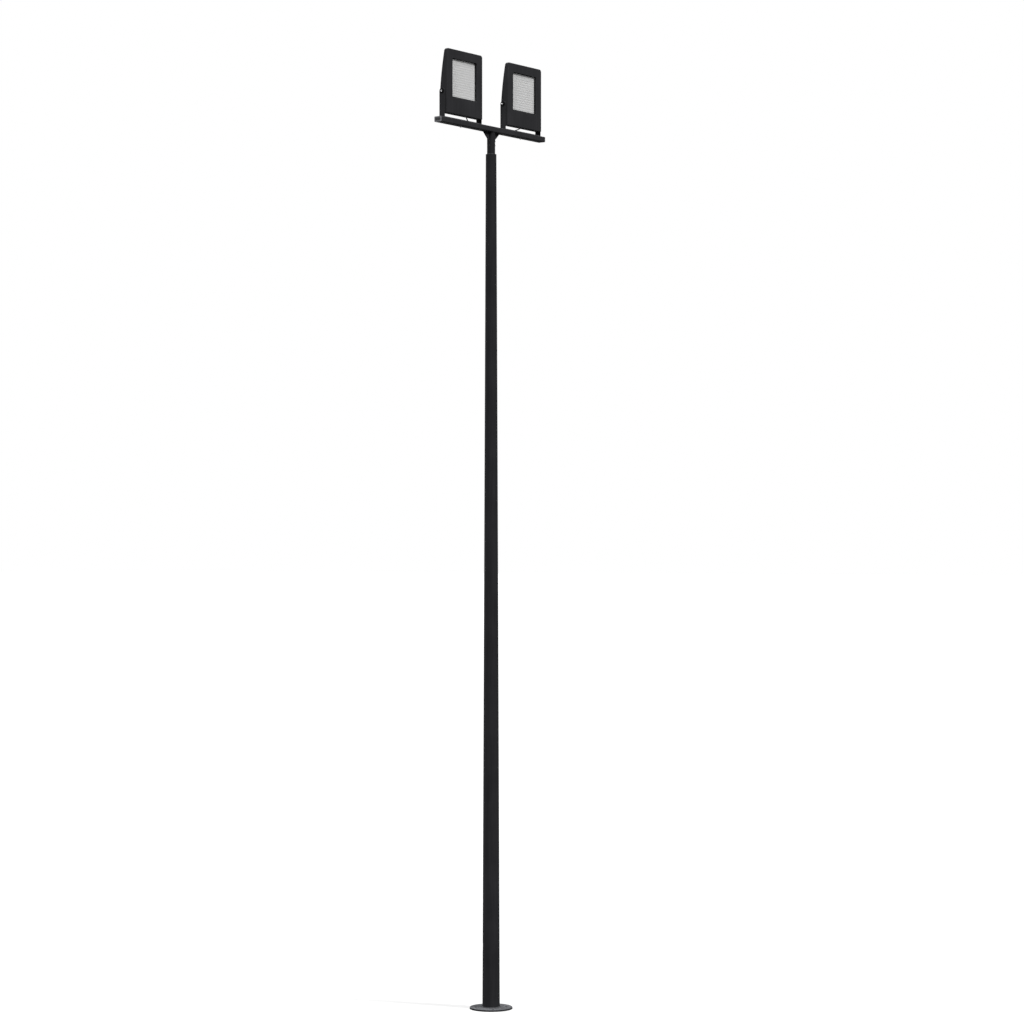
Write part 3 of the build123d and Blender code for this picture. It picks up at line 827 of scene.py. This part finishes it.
# Where each lead begins to give, and where it moves with its floodlight: metres right of the
# pivot, and metres above the ground. They are read below, but the leads are not made to bend.
giving = {"left": ((0.0, 8.238), (0.0, 8.375)), "right": ((-0.03, 8.25), (0.175, 8.37))}
neoprene = moulded(
    "black_neoprene_sheath", dark="161617", light="202021", grain=2, roughness=0.65, level=0.25
)
for name, x in floodlight_x.items():
    route = np.array(lead_routes[name]) / 1000 + [x, 0.0, pivot_height]
    curve = bpy.data.curves.new(f"cable_{name}", "CURVE")
    curve.dimensions = "3D"
    curve.bevel_depth = lead_radius
    curve.bevel_resolution = 6
    curve.resolution_u = 16
    curve.use_fill_caps = True
    spline = curve.splines.new("NURBS")
    spline.points.add(len(route) - 1)
    spline.points.foreach_set("co", np.hstack([route, np.ones((len(route), 1))]).ravel())
    spline.order_u = 3
    spline.use_endpoint_u = True
    carrier = bpy.data.objects.new(f"cable_{name}", curve)
    bpy.context.scene.collection.objects.link(carrier)
    bpy.context.view_layer.update()
    ready = carrier.evaluated_get(bpy.context.evaluated_depsgraph_get())
    sheath = bpy.data.meshes.new_from_object(ready)
    bpy.data.objects.remove(carrier)
    sheath.materials.clear()
    sheath.materials.append(neoprene)
    sheath.shade_smooth()
    sheath.set_sharp_from_angle(angle=np.radians(60))
    lead = bpy.data.objects.new(f"lead_{name}", sheath)
    bpy.context.scene.collection.objects.link(lead)
    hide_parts(f"lamp_lead_{name}")
    (still, low), (loose, high) = giving[name]
    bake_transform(lead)

# Studio: a pale floor and a white surround. Both are white to the camera, to gloss and through
# glass, the floor still takes the object's shadow, and it throws little light back up.
floor_reach, floor_height = 400.0, -0.0005


def seen_share(owner):
    """The socket that is 1 for rays from the camera, off gloss and through glass, and 0 for the
    light that falls on the object."""
    rays = add_node(owner, "LightPath")
    seen = add_node(
        owner,
        "Math",
        {0: rays.outputs["Is Camera Ray"], 1: rays.outputs["Is Glossy Ray"]},
        operation="MAXIMUM",
    )
    seen_or_through = add_node(
        owner,
        "Math",
        {0: seen.outputs["Value"], 1: rays.outputs["Is Transmission Ray"]},
        operation="MAXIMUM",
    )
    return seen_or_through.outputs["Value"]


floor_paint = blank_material("pale_studio_floor")
paper = add_node(floor_paint, "BsdfDiffuse", {"Color": linear("b9b9b9")})
glow = add_node(floor_paint, "Emission", {"Color": linear("ffffff"), "Strength": 0.5})
white = add_node(floor_paint, "AddShader", {0: paper.outputs["BSDF"], 1: glow.outputs["Emission"]})
dim = add_node(floor_paint, "BsdfDiffuse", {"Color": linear("303030")})
floor_mix = add_node(
    floor_paint,
    "MixShader",
    {0: seen_share(floor_paint), 1: dim.outputs["BSDF"], 2: white.outputs["Shader"]},
)
add_node(floor_paint, "OutputMaterial", {"Surface": floor_mix.outputs["Shader"]})
span = np.linspace(-floor_reach, floor_reach, 9)
ground_x, ground_y = np.meshgrid(span, span)
ground = np.stack([ground_x, ground_y, np.full_like(ground_x, floor_height)], axis=-1)
floor = surface("floor", ground, floor_paint, closed=(False, False))

world = bpy.data.worlds.new("studio")
bpy.context.scene.world = world
world.use_nodes = True
world.node_tree.nodes.clear()
sky = add_node(world, "TexCoord")
upward = add_node(world, "SeparateXYZ", {"Vector": sky.outputs["Generated"]})
dome = add_node(
    world,
    "MapRange",
    {"Value": upward.outputs["Z"], "From Min": -0.1, "From Max": 0.5,
     "To Min": 0.02, "To Max": 0.42},
)
soft = add_node(
    world,
    "Background",
    {"Color": linear("ffffff"), "Strength": dome.outputs["Result"]},
)
backdrop = add_node(world, "Background", {"Color": linear("ffffff"), "Strength": 1.0})
world_mix = add_node(
    world,
    "MixShader",
    {0: seen_share(world), 1: soft.outputs["Background"], 2: backdrop.outputs["Background"]},
)
add_node(world, "OutputWorld", {"Surface": world_mix.outputs["Shader"]})

# Lamps: a key from the front, above and a little right, a weaker fill from the left, and
# another as weak from behind, so that the fins show from the back.
for name, strength, spread, towards in (
    ("key", 2.7, 8, (-0.2, 0.74, -0.64)),
    ("fill", 2.0, 12, (0.9, 0.2, -0.4)),
    ("rear", 2.0, 12, (-0.06, -0.93, -0.36)),
):
    lamp = bpy.data.lights.new(name, "SUN")
    lamp.energy = strength
    lamp.angle = np.radians(spread)
    light = bpy.data.objects.new(name, lamp)
    x, y, z = np.array(towards) / np.linalg.norm(towards)
    light.rotation_euler = (np.arccos(-z), 0.0, np.arctan2(-x, y))
    bpy.context.scene.collection.objects.link(light)

# Camera: a long lens 25 m off, just below the mast's middle height, 52 degrees round from
# straight ahead of the floodlights towards the left one, aimed a little beside the column.
distance, camera_height = 25.453, 4.282
bearing, pan, pitch = 52.395, 0.441, 90.188
around = np.radians(bearing)
lens = bpy.data.cameras.new("camera")
lens.lens = 95.475
lens.sensor_width = 36
lens.shift_y = 0.0296
lens.clip_start = 0.1
lens.clip_end = 2000
camera = bpy.data.objects.new("camera", lens)
camera.location = (-distance * np.sin(around), -distance * np.cos(around), camera_height)
camera.rotation_euler = (np.radians(pitch), 0.0, -np.radians(bearing + pan))
bpy.context.scene.collection.objects.link(camera)
bpy.context.scene.camera = camera
bpy.context.scene.view_settings.view_transform = "Standard"

bpy.context.view_layer.update()
